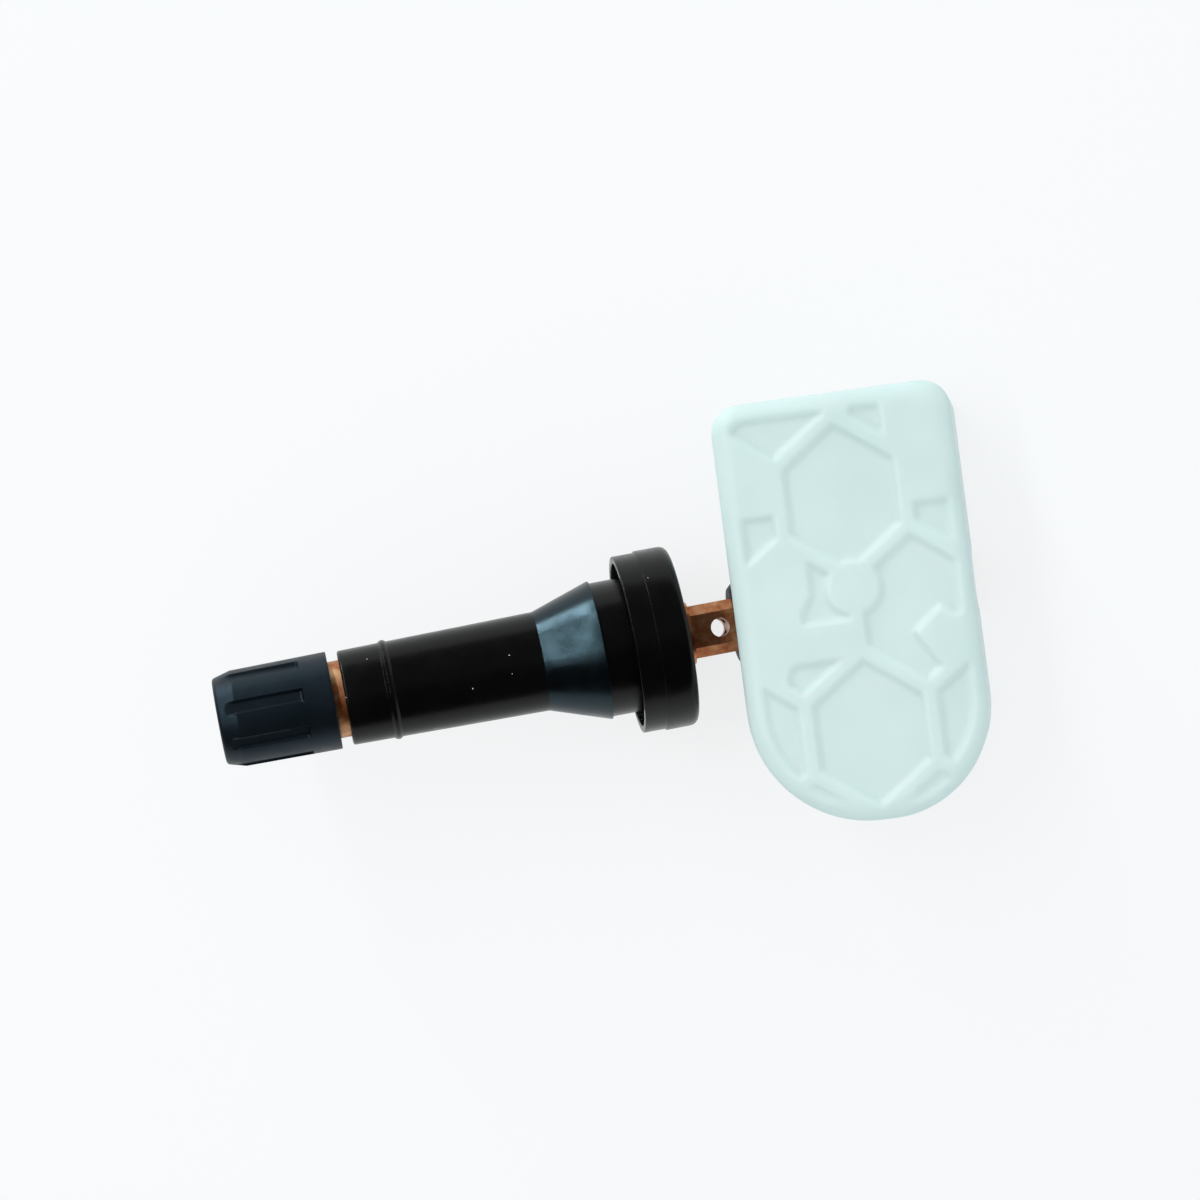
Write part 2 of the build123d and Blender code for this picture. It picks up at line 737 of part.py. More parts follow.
def radio_antenna():
    half = ANTENNA_SPAN / 2
    bridge = Pos(0, ANTENNA_Y) * Rectangle(ANTENNA_SPAN, ANTENNA_WIDTH)
    legs = [
        Pos(way * (half - ANTENNA_STRIP / 2), ANTENNA_Y) * Rectangle(ANTENNA_STRIP, ANTENNA_WIDTH)
        for way in (-1, 1)
    ]
    strip = hung(bridge, BOARD_UNDER - ANTENNA_HEIGHT + ANTENNA_STRIP, ANTENNA_STRIP)
    return strip + [hung(leg, BOARD_UNDER, ANTENNA_HEIGHT) for leg in legs]


def chip_capacitors():
    chips = []
    for i in range(CAPACITORS):
        place = Pos(CAPACITOR_X + i * CAPACITOR_PITCH, CAPACITOR_Y)
        chip = place * Rectangle(CAPACITOR_SIZE, CAPACITOR_LENGTH)
        chips.append(prism(chip, BOARD_TOP, BOARD_TOP + CAPACITOR_SIZE))
    return Compound(chips)


def potting_fill():
    fill = prism(outline(WALL), POTTING_LEVEL, BOARD_UNDER)
    gasket = prism(Pos(CHIP_X, CHIP_Y) * Circle(PORT_GASKET_R), BACK, CHIP_UNDER)
    pieces = [chip_body(), gasket, timing_crystal(), wake_coil_core(), wake_coil_winding()]
    pieces += [radio_antenna(), coin_cell(), battery_tab_top(), battery_tab_bottom()]
    pieces += [post_pin(x, y) for x, y in post_places()]
    return fill - lug_bar() - channel_bar(CHANNEL_OUTER_R) - pieces


MAKERS = [
    valve_cap,
    cap_seal,
    valve_stem,
    rubber_body,
    core_plug,
    core_barrel,
    core_gasket,
    core_pin,
    core_cup,
    core_washer,
    core_spring,
    stem_collar,
    sensor_screw,
    housing_shell,
    housing_base,
    circuit_board,
    coin_cell,
    battery_tab_top,
    battery_tab_bottom,
    sensor_chip,
    port_gasket,
    timing_crystal,
    wake_coil_core,
    wake_coil_winding,
    radio_antenna,
    chip_capacitors,
    potting_fill,
]

os.makedirs("parts", exist_ok=True)
for maker in MAKERS:
    export_step(maker(), f"parts/{maker.__name__}.step")
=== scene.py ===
import json
import math

import bmesh
import bpy
import numpy as np
from mathutils import Matrix, Vector
from mathutils.bvhtree import BVHTree
from mathutils.geometry import delaunay_2d_cdt

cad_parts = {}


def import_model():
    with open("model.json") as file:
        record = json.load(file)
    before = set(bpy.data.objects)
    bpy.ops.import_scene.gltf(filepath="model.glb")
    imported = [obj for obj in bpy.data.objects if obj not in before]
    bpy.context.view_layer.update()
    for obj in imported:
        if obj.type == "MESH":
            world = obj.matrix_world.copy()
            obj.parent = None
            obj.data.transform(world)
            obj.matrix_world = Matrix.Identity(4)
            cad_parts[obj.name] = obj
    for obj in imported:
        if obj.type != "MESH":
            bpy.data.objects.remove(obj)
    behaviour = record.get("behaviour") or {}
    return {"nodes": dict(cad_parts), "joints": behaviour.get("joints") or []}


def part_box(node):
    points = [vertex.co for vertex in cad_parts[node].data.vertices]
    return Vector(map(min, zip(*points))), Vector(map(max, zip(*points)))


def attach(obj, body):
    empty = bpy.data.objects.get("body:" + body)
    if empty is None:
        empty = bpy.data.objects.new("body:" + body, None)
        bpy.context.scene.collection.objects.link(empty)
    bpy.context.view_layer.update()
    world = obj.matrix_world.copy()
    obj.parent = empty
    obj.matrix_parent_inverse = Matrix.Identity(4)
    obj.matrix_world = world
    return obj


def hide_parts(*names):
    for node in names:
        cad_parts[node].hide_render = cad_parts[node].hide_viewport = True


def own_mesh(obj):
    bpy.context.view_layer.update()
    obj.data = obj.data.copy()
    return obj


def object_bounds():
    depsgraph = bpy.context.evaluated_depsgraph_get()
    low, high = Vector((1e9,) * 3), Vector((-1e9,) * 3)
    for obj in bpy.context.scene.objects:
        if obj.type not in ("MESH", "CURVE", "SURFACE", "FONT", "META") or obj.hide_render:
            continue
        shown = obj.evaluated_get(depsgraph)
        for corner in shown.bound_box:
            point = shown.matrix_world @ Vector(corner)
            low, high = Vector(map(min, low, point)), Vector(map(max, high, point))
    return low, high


# Looks of a tyre pressure sensor with a snap-in rubber valve. Sizes are written in millimetres
# and turned into metres as they go into a mesh. Stations run along the stem, minus to the cap.

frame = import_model()
cad_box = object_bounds()
nodes = frame["nodes"]
MM = 0.001

# Camera that took the picture: place in mm, view and upward directions, and focal length in
# picture widths
CAMERA_AT = (41.8, 0.5, 349.6)
CAMERA_VIEW = (-0.1247, 0.0123, -0.9921)
CAMERA_UP = (0.1280, 0.9918, -0.0038)
FOCAL_WIDTHS = 3500.3 / 1200
SENSOR = 36.0
CLIP_START = 0.01

# Rubber body, as (station, radius, rounding of that corner)
SLEEVE_TIP = -28.8
CONE_NARROW = -8.9
CONE_WIDE = -2.8
FLANGE_BACK = 5.6
ANCHOR_FRONT = 1.4
ANCHOR_BACK = 4.2
RUBBER = [
    (SLEEVE_TIP, 3.2, 0.0),
    (SLEEVE_TIP, 4.77, 0.3),
    (-24.65, 4.824, 0.15),
    (-24.35, 5.03, 0.12),
    (-24.05, 5.03, 0.12),
    (-23.75, 4.836, 0.15),
    (CONE_NARROW, 5.03, 0.5),
    (CONE_WIDE, 7.07, 0.16),
    (CONE_WIDE, 6.8, 0.05),
    (1.0, 6.8, 0.25),
    (1.0, 8.3, 0.25),
    (0.0, 8.3, 0.12),
    (0.0, 9.0, 0.12),
    (2.3, 9.0, 0.05),
    (2.3, 9.15, 0.06),
    (FLANGE_BACK, 9.15, 0.95),
    (FLANGE_BACK, 3.15, 0.0),
    (ANCHOR_BACK, 3.15, 0.0),
    (ANCHOR_BACK, 4.7, 0.0),
    (ANCHOR_FRONT, 4.7, 0.0),
    (ANCHOR_FRONT, 3.2, 0.0),
]

# Dust cap, in the same form. The grooves are cut outside the inner band round the bore.
CAP_CLOSED = -41.5
CAP_NOSE = -39.6
CAP_OPEN = -29.9
CAP_INSIDE = -40.1
CAP_BAND = -32.8
CAP_GROOVES = 8
CAP_GROOVE_TURN = -32.4
CAP_GROOVE_HALF = 0.7
CAP_GROOVE_FLOOR = 4.53
CAP_GROOVE_EDGE = 0.16
CAP_BORE_R = 3.955
CAP_MOUTH_CHAMFER = 0.3
CAP_INNER_BAND = 0.32
CAP = [
    (CAP_CLOSED, 0.0, 0.0),
    (CAP_CLOSED, 4.3, 0.45),
    (CAP_NOSE, 4.83, 0.8),
    (CAP_OPEN, 4.93, 0.14),
    (CAP_OPEN, CAP_BORE_R + CAP_MOUTH_CHAMFER, 0.0),
    (CAP_OPEN - CAP_MOUTH_CHAMFER, CAP_BORE_R, 0.0),
    (CAP_INSIDE, CAP_BORE_R, 0.0),
    (CAP_INSIDE, 0.0, 0.0),
]

# Brass thread between the stem's mouth and the rubber. The bore is (depth, radius).
STEM_MOUTH = -39.1
THREAD_R = 3.875
THREAD_DEPTH = 0.42
THREAD_PITCH = 25.4 / 32
THREAD_CHAMFER = 0.4
THREAD_RUN_OUT = 0.7
THREAD_PLAIN = 1.0
THREAD_ROW = 0.06
THREAD_ROOT = 0.08
THREAD_CREST = 0.92
BORE = [(0.0, 2.65), (0.3, 2.35), (5.6, 2.35), (7.6, 1.85)]

# Housing face: its outline, its rounded edge and the steps of its mesh
CORNER_R = 2.9
END_FLAT = 1.2
FACE_ROUND = 1.2
EDGE_WIDTH = 2.0
EDGE_DROP = 1.2
EDGE_STEPS = 9
SEAM_BAND = 0.05
RELIEF_STEP = 0.1
RELIEF_BLUR = 0.20
RAY_HEIGHT = 1.0
LAST_CELL = 1.001
FACE_STEP = 0.14
RING_STEP = 0.2
INNER_RINGS = 5
RING_GAP = 0.6
MERGE = 1e-6

# Steps of turned meshes and of their rounded corners, and
# angles in degrees over which an edge stays sharp
TURN_STEPS = 192
CAP_STEPS = 256
THREAD_STEPS = 128
CORNER_STEPS = 5
CORNER_REACH = 0.48
NEARLY_STRAIGHT = 89.5
CAP_ROW = 0.16
RUBBER_ROW = 1.2
ON_AXIS = 1e-6
WELD = 1e-7
RUBBER_SHARP = 50.0
SPRING_SHARP = 50.0
MOULD_SHARP = 40.0
THREAD_SHARP = 30.0


def packed_joint(name):
    """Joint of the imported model."""
    return next(joint for joint in frame["joints"] if joint["name"] == name)


ALONG = Vector(packed_joint("pin_press")["axis"]).normalized()
SIDE = Vector((0, 0, 1)).cross(ALONG).normalized()
ABOVE = ALONG.cross(SIDE)


def on_stem(station, radius, angle):
    """Point in metres at a station, a radius and a turn about the stem's axis."""
    around = SIDE * math.sin(angle) + ABOVE * math.cos(angle)
    return (ALONG * station + around * radius) * MM


def smooth(edge0, edge1, value):
    """Soft step from 0 to 1 between two edges."""
    t = np.clip((value - edge0) / (edge1 - edge0), 0.0, 1.0)
    return t * t * (3 - 2 * t)


def finish_mesh(name, bm, body, replaced, sharp):
    """Object of a bmesh that rides on a body and stands for CAD nodes."""
    bmesh.ops.recalc_face_normals(bm, faces=bm.faces)
    mesh = bpy.data.meshes.new(name)
    bm.to_mesh(mesh)
    bm.free()
    old_normals = mesh.attributes.get("custom_normal")
    if old_normals:
        mesh.attributes.remove(old_normals)
    mesh.shade_smooth()
    mesh.set_sharp_from_angle(angle=math.radians(sharp))
    piece = bpy.data.objects.new(name, mesh)
    bpy.context.scene.collection.objects.link(piece)
    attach(piece, body)
    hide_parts(*replaced)
    return piece


# Turned pieces


def rounded_profile(corners):
    """Closed profile with each corner turned into an arc of its own radius."""
    points = []
    count = len(corners)
    for i, (x, r, radius) in enumerate(corners):
        here = Vector((x, r))
        before = Vector(corners[i - 1][:2]) - here
        after = Vector(corners[(i + 1) % count][:2]) - here
        half = before.angle(after) / 2
        if radius == 0 or half > math.radians(NEARLY_STRAIGHT):
            points.append(here)
            continue
        room = min(before.length, after.length) * CORNER_REACH
        reach = min(radius / math.tan(half), room)
        start = here + before.normalized() * reach
        end = here + after.normalized() * reach
        for k in range(CORNER_STEPS + 1):
            t = k / CORNER_STEPS
            points.append(start * (1 - t) ** 2 + here * 2 * t * (1 - t) + end * t**2)
    return points


def divided(points, length):
    """Profile with its long runs split into short rows."""
    out = []
    for i, here in enumerate(points):
        after = points[(i + 1) % len(points)]
        steps = max(1, round((after - here).length / length))
        out += [here.lerp(after, k / steps) for k in range(steps)]
    return out


def turned(points, steps, carve=None):
    """Mesh turned about the stem's axis from a closed profile; carve gives new radii."""
    bm = bmesh.new()
    rings = []
    for point in points:
        if point.y < ON_AXIS:
            rings.append([bm.verts.new(on_stem(point.x, 0, 0))] * steps)
            continue
        ring = []
        for k in range(steps):
            angle = 2 * math.pi * k / steps
            radius = carve(point.x, point.y, angle) if carve else point.y
            ring.append(bm.verts.new(on_stem(point.x, radius, angle)))
        rings.append(ring)
    for first, second in zip(rings, rings[1:] + rings[:1]):
        for k in range(steps):
            corners = [first[k - 1], first[k], second[k], second[k - 1]]
            corners = [v for i, v in enumerate(corners) if v not in corners[:i]]
            if len(corners) > 2:
                bm.faces.new(corners)
    return bm


def rubber_body():
    bm = turned(divided(rounded_profile(RUBBER), RUBBER_ROW), TURN_STEPS)
    return finish_mesh(
        "rubber_snap_in", bm, "sensor", ["rubber_body"], RUBBER_SHARP
    )


def groove_carve(station, radius, angle):
    """Radius of the cap's outside with its flat-bottomed finger grooves."""
    if radius < CAP_BORE_R + CAP_INNER_BAND:
        return radius
    pitch = 2 * math.pi / CAP_GROOVES
    offset = (angle - math.radians(CAP_GROOVE_TURN) + pitch / 2) % pitch - pitch / 2
    across = abs(math.sin(offset)) * radius
    side = 1 - smooth(CAP_GROOVE_HALF - CAP_GROOVE_EDGE, CAP_GROOVE_HALF, across)
    end = 1 - smooth(CAP_BAND - CAP_GROOVE_EDGE, CAP_BAND, station)
    depth = max(0.0, radius - CAP_GROOVE_FLOOR / math.cos(offset))
    return radius - depth * side * end


def valve_cap():
    bm = turned(divided(rounded_profile(CAP), CAP_ROW), CAP_STEPS, groove_carve)
    return finish_mesh("ribbed_cap", bm, "cap", ["valve_cap"], MOULD_SHARP)


# Cut copies of CAD nodes, with new surfaces joined to their open edges


def welded_copy(node):
    """Copy of a CAD node's mesh with its seams closed."""
    bm = bmesh.new()
    bm.from_mesh(nodes[node].data)
    bmesh.ops.remove_doubles(bm, verts=bm.verts, dist=WELD)
    return bm


def cut_copy(node, point, normal):
    """Welded copy of a CAD node's mesh without the part past a plane."""
    bm = welded_copy(node)
    everything = list(bm.verts) + list(bm.edges) + list(bm.faces)
    bmesh.ops.bisect_plane(
        bm, geom=everything, dist=WELD, plane_co=point, plane_no=normal, clear_outer=True
    )
    return bm


def open_loops(bm):
    """Lists of boundary edges, one list per closed loop."""
    left = {edge for edge in bm.edges if edge.is_boundary}
    loops = []
    while left:
        loop = [left.pop()]
        ends = set(loop[0].verts)
        while True:
            more = [edge for edge in left if ends & set(edge.verts)]
            if not more:
                break
            for edge in more:
                left.discard(edge)
                ends |= set(edge.verts)
            loop += more
        loops.append(loop)
    return loops


def add_ring(bm, points):
    """New closed ring of vertices and its edges."""
    verts = [bm.verts.new(point) for point in points]
    edges = [bm.edges.new((verts[i - 1], verts[i])) for i in range(len(verts))]
    return verts, edges


def skin(bm, first, second):
    """Quads between two rings of the same count."""
    for i in range(len(first)):
        bm.faces.new((first[i - 1], first[i], second[i], second[i - 1]))


def thread_radius(station, angle):
    """Radius of the V thread with a chamfered start, a run-out and a plain end at the rubber."""
    turn = (station / THREAD_PITCH - angle / (2 * math.pi)) % 1.0
    ridge = smooth(THREAD_ROOT, THREAD_CREST, abs(2 * turn - 1))
    plain = SLEEVE_TIP - THREAD_PLAIN
    fade = smooth(plain - THREAD_RUN_OUT, plain, station)
    radius = THREAD_R - THREAD_DEPTH * (1 - ridge) * (1 - fade)
    return min(radius, THREAD_R - THREAD_CHAMFER + station - STEM_MOUTH)


def stem_ring(radius_at, station):
    angles = [2 * math.pi * k / THREAD_STEPS for k in range(THREAD_STEPS)]
    return [on_stem(station, radius_at(station, angle), angle) for angle in angles]


def valve_stem():
    """Brass stem: the CAD solid behind the thread, and a cut thread with its bore in front."""
    tip = ALONG * SLEEVE_TIP * MM
    bm = cut_copy("valve_stem", tip, -ALONG)
    loops = open_loops(bm)
    loops.sort(key=lambda loop: max((v.co - tip).length for e in loop for v in e.verts))
    rows = round((SLEEVE_TIP - STEM_MOUTH) / THREAD_ROW)
    stations = [SLEEVE_TIP + (STEM_MOUTH - SLEEVE_TIP) * i / rows for i in range(rows + 1)]
    rings = [stem_ring(thread_radius, station) for station in stations]
    for depth, radius in BORE + [(SLEEVE_TIP - STEM_MOUTH, BORE[-1][1])]:
        rings.append(stem_ring(lambda station, angle, r=radius: r, STEM_MOUTH + depth))
    made = [add_ring(bm, ring) for ring in rings]
    for (first, _), (second, _) in zip(made, made[1:]):
        skin(bm, first, second)
    bmesh.ops.bridge_loops(bm, edges=loops[-1] + made[0][1])
    bmesh.ops.bridge_loops(bm, edges=loops[0] + made[-1][1])
    return finish_mesh("threaded_stem", bm, "sensor", ["valve_stem"], THREAD_SHARP)


def core_spring():
    """The CAD spring's mesh on a mesh of its own; the real spring shortens towards its shelf as
    the pin is pressed.
    """
    bm = welded_copy("core_spring")
    piece = finish_mesh("coil_spring", bm, "sensor", ["core_spring"], SPRING_SHARP)
    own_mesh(piece)
    return piece


# Housing shell with its soft moulded face

SHELL_LOW, SHELL_HIGH = (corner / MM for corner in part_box("housing_shell"))
CENTRE = (SHELL_LOW + SHELL_HIGH) / 2
HALF_WIDTH = (SHELL_HIGH.x - SHELL_LOW.x) / 2
HALF_LENGTH = (SHELL_HIGH.y - SHELL_LOW.y) / 2
ROUND_Y = HALF_WIDTH - HALF_LENGTH
FULL_R = HALF_WIDTH - END_FLAT
FACE = SHELL_HIGH.z


def arc(centre, radius, start, end):
    """Points and inward normals of an arc, in degrees."""
    steps = max(2, round(radius * math.radians(abs(end - start)) / RING_STEP))
    angles = [math.radians(start + (end - start) * k / steps) for k in range(steps)]
    spokes = [Vector((math.cos(a), math.sin(a))) for a in angles]
    return [(spoke * radius + centre, -spoke) for spoke in spokes]


def run(start, end, inward):
    """Points and inward normals of a straight side."""
    steps = round((end - start).length / RING_STEP)
    return [(start.lerp(end, k / steps), inward) for k in range(steps)]


def housing_outline():
    """Housing outline round its centre, as points with inward normals, anticlockwise."""
    side = HALF_WIDTH
    top = HALF_LENGTH
    inner = Vector((side - CORNER_R, top - CORNER_R))
    full = Vector((END_FLAT, FULL_R - top))
    right = run(Vector((side, full.y)), Vector((side, inner.y)), Vector((-1, 0)))
    head = run(Vector((inner.x, top)), Vector((-inner.x, top)), Vector((0, -1)))
    left = run(Vector((-side, inner.y)), Vector((-side, ROUND_Y)), Vector((1, 0)))
    flat = run(Vector((0, -top)), Vector((END_FLAT, -top)), Vector((0, 1)))
    corner_right = arc(inner, CORNER_R, 0, 90)
    corner_left = arc(Vector((-inner.x, inner.y)), CORNER_R, 90, 180)
    round_side = arc(Vector((0, ROUND_Y)), side, 180, 270)
    full_side = arc(full, FULL_R, 270, 360)
    return right + corner_right + head + corner_left + left + round_side + flat + full_side


def inset(x, y):
    """Distance inside the housing outline, each of whose corners has its own radius."""
    radius = np.where(y > 0, CORNER_R, np.where(x < 0, HALF_WIDTH, FULL_R))
    over_x = np.abs(x) - (HALF_WIDTH - radius)
    over_y = np.abs(y) - (HALF_LENGTH - radius)
    sides = np.minimum(HALF_WIDTH - np.abs(x), HALF_LENGTH - np.abs(y))
    corner = radius - np.hypot(over_x, over_y)
    return np.where((over_x > 0) & (over_y > 0), corner, sides)


def blurred(field, sigma):
    """Field smoothed by a bell curve, sigma in grid steps."""
    reach = math.ceil(3 * sigma)
    weights = np.exp(-0.5 * (np.arange(-reach, reach + 1) / sigma) ** 2)
    weights /= weights.sum()
    for axis in (0, 1):
        margins = [(reach, reach) if a == axis else (0, 0) for a in (0, 1)]
        padded = np.pad(field, margins, mode="edge")
        size = field.shape[axis]
        field = sum(w * np.take(padded, range(i, i + size), axis) for i, w in enumerate(weights))
    return field


class Relief:
    """Depth of the face's recesses, read from the CAD solid and softened as a moulding is."""

    def __init__(self):
        tree = BVHTree.FromObject(nodes["housing_shell"], bpy.context.evaluated_depsgraph_get())
        self.x = np.arange(-HALF_WIDTH, HALF_WIDTH + RELIEF_STEP, RELIEF_STEP)
        self.y = np.arange(-HALF_LENGTH, HALF_LENGTH + RELIEF_STEP, RELIEF_STEP)
        grid_x, grid_y = np.meshgrid(self.x, self.y, indexing="ij")
        inside = inset(grid_x, grid_y) > FACE_ROUND
        depth = np.zeros(grid_x.shape)
        down = Vector((0, 0, -1))
        over = Vector((CENTRE.x, CENTRE.y, FACE + RAY_HEIGHT))
        for i, j in np.argwhere(inside):
            start = (Vector((self.x[i], self.y[j], 0)) + over) * MM
            hit = tree.ray_cast(start, down)[0]
            depth[i, j] = FACE - hit.z / MM
        self.depth = blurred(depth, RELIEF_BLUR / RELIEF_STEP)

    def at(self, x, y):
        """Depth at places round the housing's centre."""
        u = np.clip((x - self.x[0]) / RELIEF_STEP, 0, len(self.x) - LAST_CELL)
        v = np.clip((y - self.y[0]) / RELIEF_STEP, 0, len(self.y) - LAST_CELL)
        i, j = u.astype(int), v.astype(int)
        fu, fv = u - i, v - j
        near = self.depth[i, j] * (1 - fv) + self.depth[i, j + 1] * fv
        far = self.depth[i + 1, j] * (1 - fv) + self.depth[i + 1, j + 1] * fv
        return near * (1 - fu) + far * fu


def edge_drop(distance):
    """How far the face falls away towards its edge."""
    u = np.clip((EDGE_WIDTH - distance) / EDGE_WIDTH, 0.0, 1.0)
    return EDGE_DROP * (1 - np.sqrt(1 - u * u))


def face_points(flat, relief):
    """Places on the face in metres for flat points round the housing's centre."""
    x, y = flat[:, 0], flat[:, 1]
    z = FACE - edge_drop(inset(x, y)) - relief.at(x, y)
    return np.stack([x + CENTRE.x, y + CENTRE.y, z], axis=1) * MM


def fill_face(bm, ring, flat_ring, relief):
    """Fine triangles inside the innermost ring."""
    limit = EDGE_WIDTH + FACE_STEP * (INNER_RINGS + RING_GAP)
    x = np.arange(-HALF_WIDTH, HALF_WIDTH, FACE_STEP)
    y = np.arange(-HALF_LENGTH, HALF_LENGTH, FACE_STEP)
    grid_x, grid_y = (values.ravel() for values in np.meshgrid(x, y, indexing="ij"))
    inner = inset(grid_x, grid_y) > limit
    flat = np.stack([grid_x[inner], grid_y[inner]], axis=1)
    count = len(ring)
    edges = [((i - 1) % count, i) for i in range(count)]
    coords = [Vector(point) for point in np.concatenate([flat_ring, flat])]
    _, _, triangles, origins, *_ = delaunay_2d_cdt(coords, edges, [], 1, MERGE)
    new = [bm.verts.new(point) for point in face_points(flat, relief)]
    verts = list(ring) + new
    sources = [verts[origin[0]] for origin in origins]
    for triangle in triangles:
        bm.faces.new([sources[i] for i in triangle])


def housing_shell():
    """The CAD shell below its rounded edge, closed by a finely divided face."""
    relief = Relief()
    level = FACE - EDGE_DROP - SEAM_BAND
    bm = cut_copy("housing_shell", Vector((0, 0, level)) * MM, Vector((0, 0, 1)))
    loops = open_loops(bm)
    outline = housing_outline()
    base = np.array([point for point, _ in outline])
    inward = np.array([normal for _, normal in outline])
    turn = [math.radians(90 * k / EDGE_STEPS) for k in range(EDGE_STEPS + 1)]
    offsets = [EDGE_WIDTH * (1 - math.cos(a)) for a in turn]
    offsets += [EDGE_WIDTH + FACE_STEP * (k + 1) for k in range(INNER_RINGS)]
    rings = [base + inward * offset for offset in offsets]
    made = [add_ring(bm, face_points(ring, relief)) for ring in rings]
    for (first, _), (second, _) in zip(made, made[1:]):
        skin(bm, first, second)
    bmesh.ops.bridge_loops(bm, edges=loops[0] + made[0][1])
    fill_face(bm, made[-1][0], rings[-1], relief)
    return finish_mesh(
        "moulded_shell", bm, "sensor", ["housing_shell"], MOULD_SHARP
    )


# Materials

MIDDLE_LOW, MIDDLE_HIGH = 0.3, 0.7
SPECK_SPACING = 2.1
SPECK_SIZE = 0.032
SPECK_COLOUR = (0.55, 0.56, 0.58)
# Tint of the cone's gloss only: a painted blue reflection, brighter than the rest of the rubber's
# gloss
PAINTED_SHEEN_TINT = (1.05, 1.90, 2.35)
WHITE = (1.0, 1.0, 1.0)
THREAD_MARGIN = 1.0
THREAD_SATIN = 0.18
WIRE_BAND = 0.9


class Nodes:
    """Short way to add and link the nodes of one material."""

    def __init__(self, name):
        self.material = bpy.data.materials.new(name)
        self.material.use_nodes = True
        self.tree = self.material.node_tree
        self.tree.nodes.clear()
        self.place = self.add("ShaderNodeTexCoord").outputs["Object"]
        self.shader = self.add("ShaderNodeBsdfPrincipled")
        out = self.add("ShaderNodeOutputMaterial")
        self.link(self.shader.outputs["BSDF"], out.inputs["Surface"])

    def add(self, kind, **settings):
        node = self.tree.nodes.new(kind)
        for name, value in settings.items():
            setattr(node, name, value)
        return node

    def link(self, source, target):
        self.tree.links.new(source, target)

    def noise(self, size_mm, detail=3.0, rough=0.5, stretch=None):
        """Noise whose grain is about size_mm, stretched along the stem if asked."""
        node = self.add("ShaderNodeTexNoise")
        node.inputs["Scale"].default_value = 1.0 / (size_mm * MM)
        node.inputs["Detail"].default_value = detail
        node.inputs["Roughness"].default_value = rough
        if stretch:
            mapping = self.add("ShaderNodeMapping")
            mapping.inputs["Scale"].default_value = stretch
            self.link(self.place, mapping.inputs["Vector"])
            self.link(mapping.outputs["Vector"], node.inputs["Vector"])
        else:
            self.link(self.place, node.inputs["Vector"])
        return node.outputs["Fac"]

    def ramp(self, source, stops):
        """Colour ramp over (position, colour) stops."""
        node = self.add("ShaderNodeValToRGB")
        ramp = node.color_ramp
        while len(ramp.elements) < len(stops):
            ramp.elements.new(0.5)
        for element, (position, colour) in zip(ramp.elements, stops):
            element.position = position
            element.color = (*colour, 1.0)
        self.link(source, node.inputs["Fac"])
        return node.outputs["Color"]

    def spread(self, source, low, high):
        """Number that runs from low to high as the source does over its middle range."""
        node = self.add("ShaderNodeMapRange")
        node.inputs["From Min"].default_value = MIDDLE_LOW
        node.inputs["From Max"].default_value = MIDDLE_HIGH
        node.inputs["To Min"].default_value = low
        node.inputs["To Max"].default_value = high
        self.link(source, node.inputs["Value"])
        return node.outputs["Result"]

    def mix(self, factor, first, second):
        """Colour mixed by a factor; each side is a socket or a plain colour."""
        node = self.add("ShaderNodeMix", data_type="RGBA")
        self.link(factor, node.inputs["Factor"])
        sockets = [s for s in node.inputs if s.type == "RGBA"]
        for socket, value in zip(sockets, (first, second)):
            if isinstance(value, tuple):
                socket.default_value = (*value, 1.0)
            else:
                self.link(value, socket)
        return [s for s in node.outputs if s.type == "RGBA"][0]

    def bump(self, source, height_mm):
        """Small relief from a height source."""
        node = self.add("ShaderNodeBump")
        node.inputs["Strength"].default_value = 1.0
        node.inputs["Distance"].default_value = height_mm * MM
        self.link(source, node.inputs["Height"])
        self.link(node.outputs["Normal"], self.shader.inputs["Normal"])

    def set(self, **values):
        """Plain numbers on the shader's own sockets."""
        for name, value in values.items():
            self.shader.inputs[name.replace("_", " ")].default_value = value

    def colour(self, socket):
        self.link(socket, self.shader.inputs["Base Color"])

    def roughness(self, socket):
        self.link(socket, self.shader.inputs["Roughness"])


def mint_plastic(name):
    """Pale mint moulding: even satin colour, faint clouds and a fine matte grain."""
    m = Nodes(name)
    clouds = [(0.3, (0.635, 0.785, 0.770)), (0.7, (0.680, 0.825, 0.815))]
    m.colour(m.ramp(m.noise(9.0), clouds))
    m.roughness(m.spread(m.noise(2.5), 0.40, 0.50))
    m.set(Subsurface_Weight=0.7, Subsurface_Scale=0.85 * MM, Subsurface_Radius=(0.8, 1.0, 1.0))
    m.bump(m.noise(0.35, 4.0), 0.006)
    return m.material


def rubber(name):
    """Black moulded rubber with a satin bloom, fine grain, a few dust specks and a painted blue
    sheen in the gloss of its cone.
    """
    m = Nodes(name)
    shades = [(0.35, (0.0010, 0.0010, 0.0011)), (0.75, (0.0022, 0.0022, 0.0025))]
    bloom = m.ramp(m.noise(6.0), shades)
    m.colour(m.mix(specks(m, SPECK_SPACING, SPECK_SIZE), bloom, SPECK_COLOUR))
    m.roughness(m.spread(m.noise(1.8), 0.20, 0.30))
    m.set(Specular_IOR_Level=0.2)
    # Painted reflection: the gloss of the cone is tinted blue and brightened, standing in for a
    # blue light mirrored there
    painted_sheen = m.mix(station_mask(m, CONE_NARROW, CONE_WIDE), WHITE, PAINTED_SHEEN_TINT)
    m.link(painted_sheen, m.shader.inputs["Specular Tint"])
    m.bump(m.noise(0.25, 3.0), 0.004)
    return m.material


def station_mask(m, first, last):
    """Mask of a stretch of the stem between two stations."""
    station = m.add("ShaderNodeVectorMath", operation="DOT_PRODUCT")
    station.inputs[1].default_value = ALONG
    m.link(m.place, station.inputs[0])
    mask = m.add("ShaderNodeMath", operation="COMPARE")
    mask.inputs[1].default_value = (first + last) / 2 * MM
    mask.inputs[2].default_value = (last - first) / 2 * MM
    m.link(station.outputs["Value"], mask.inputs[0])
    return mask.outputs["Value"]


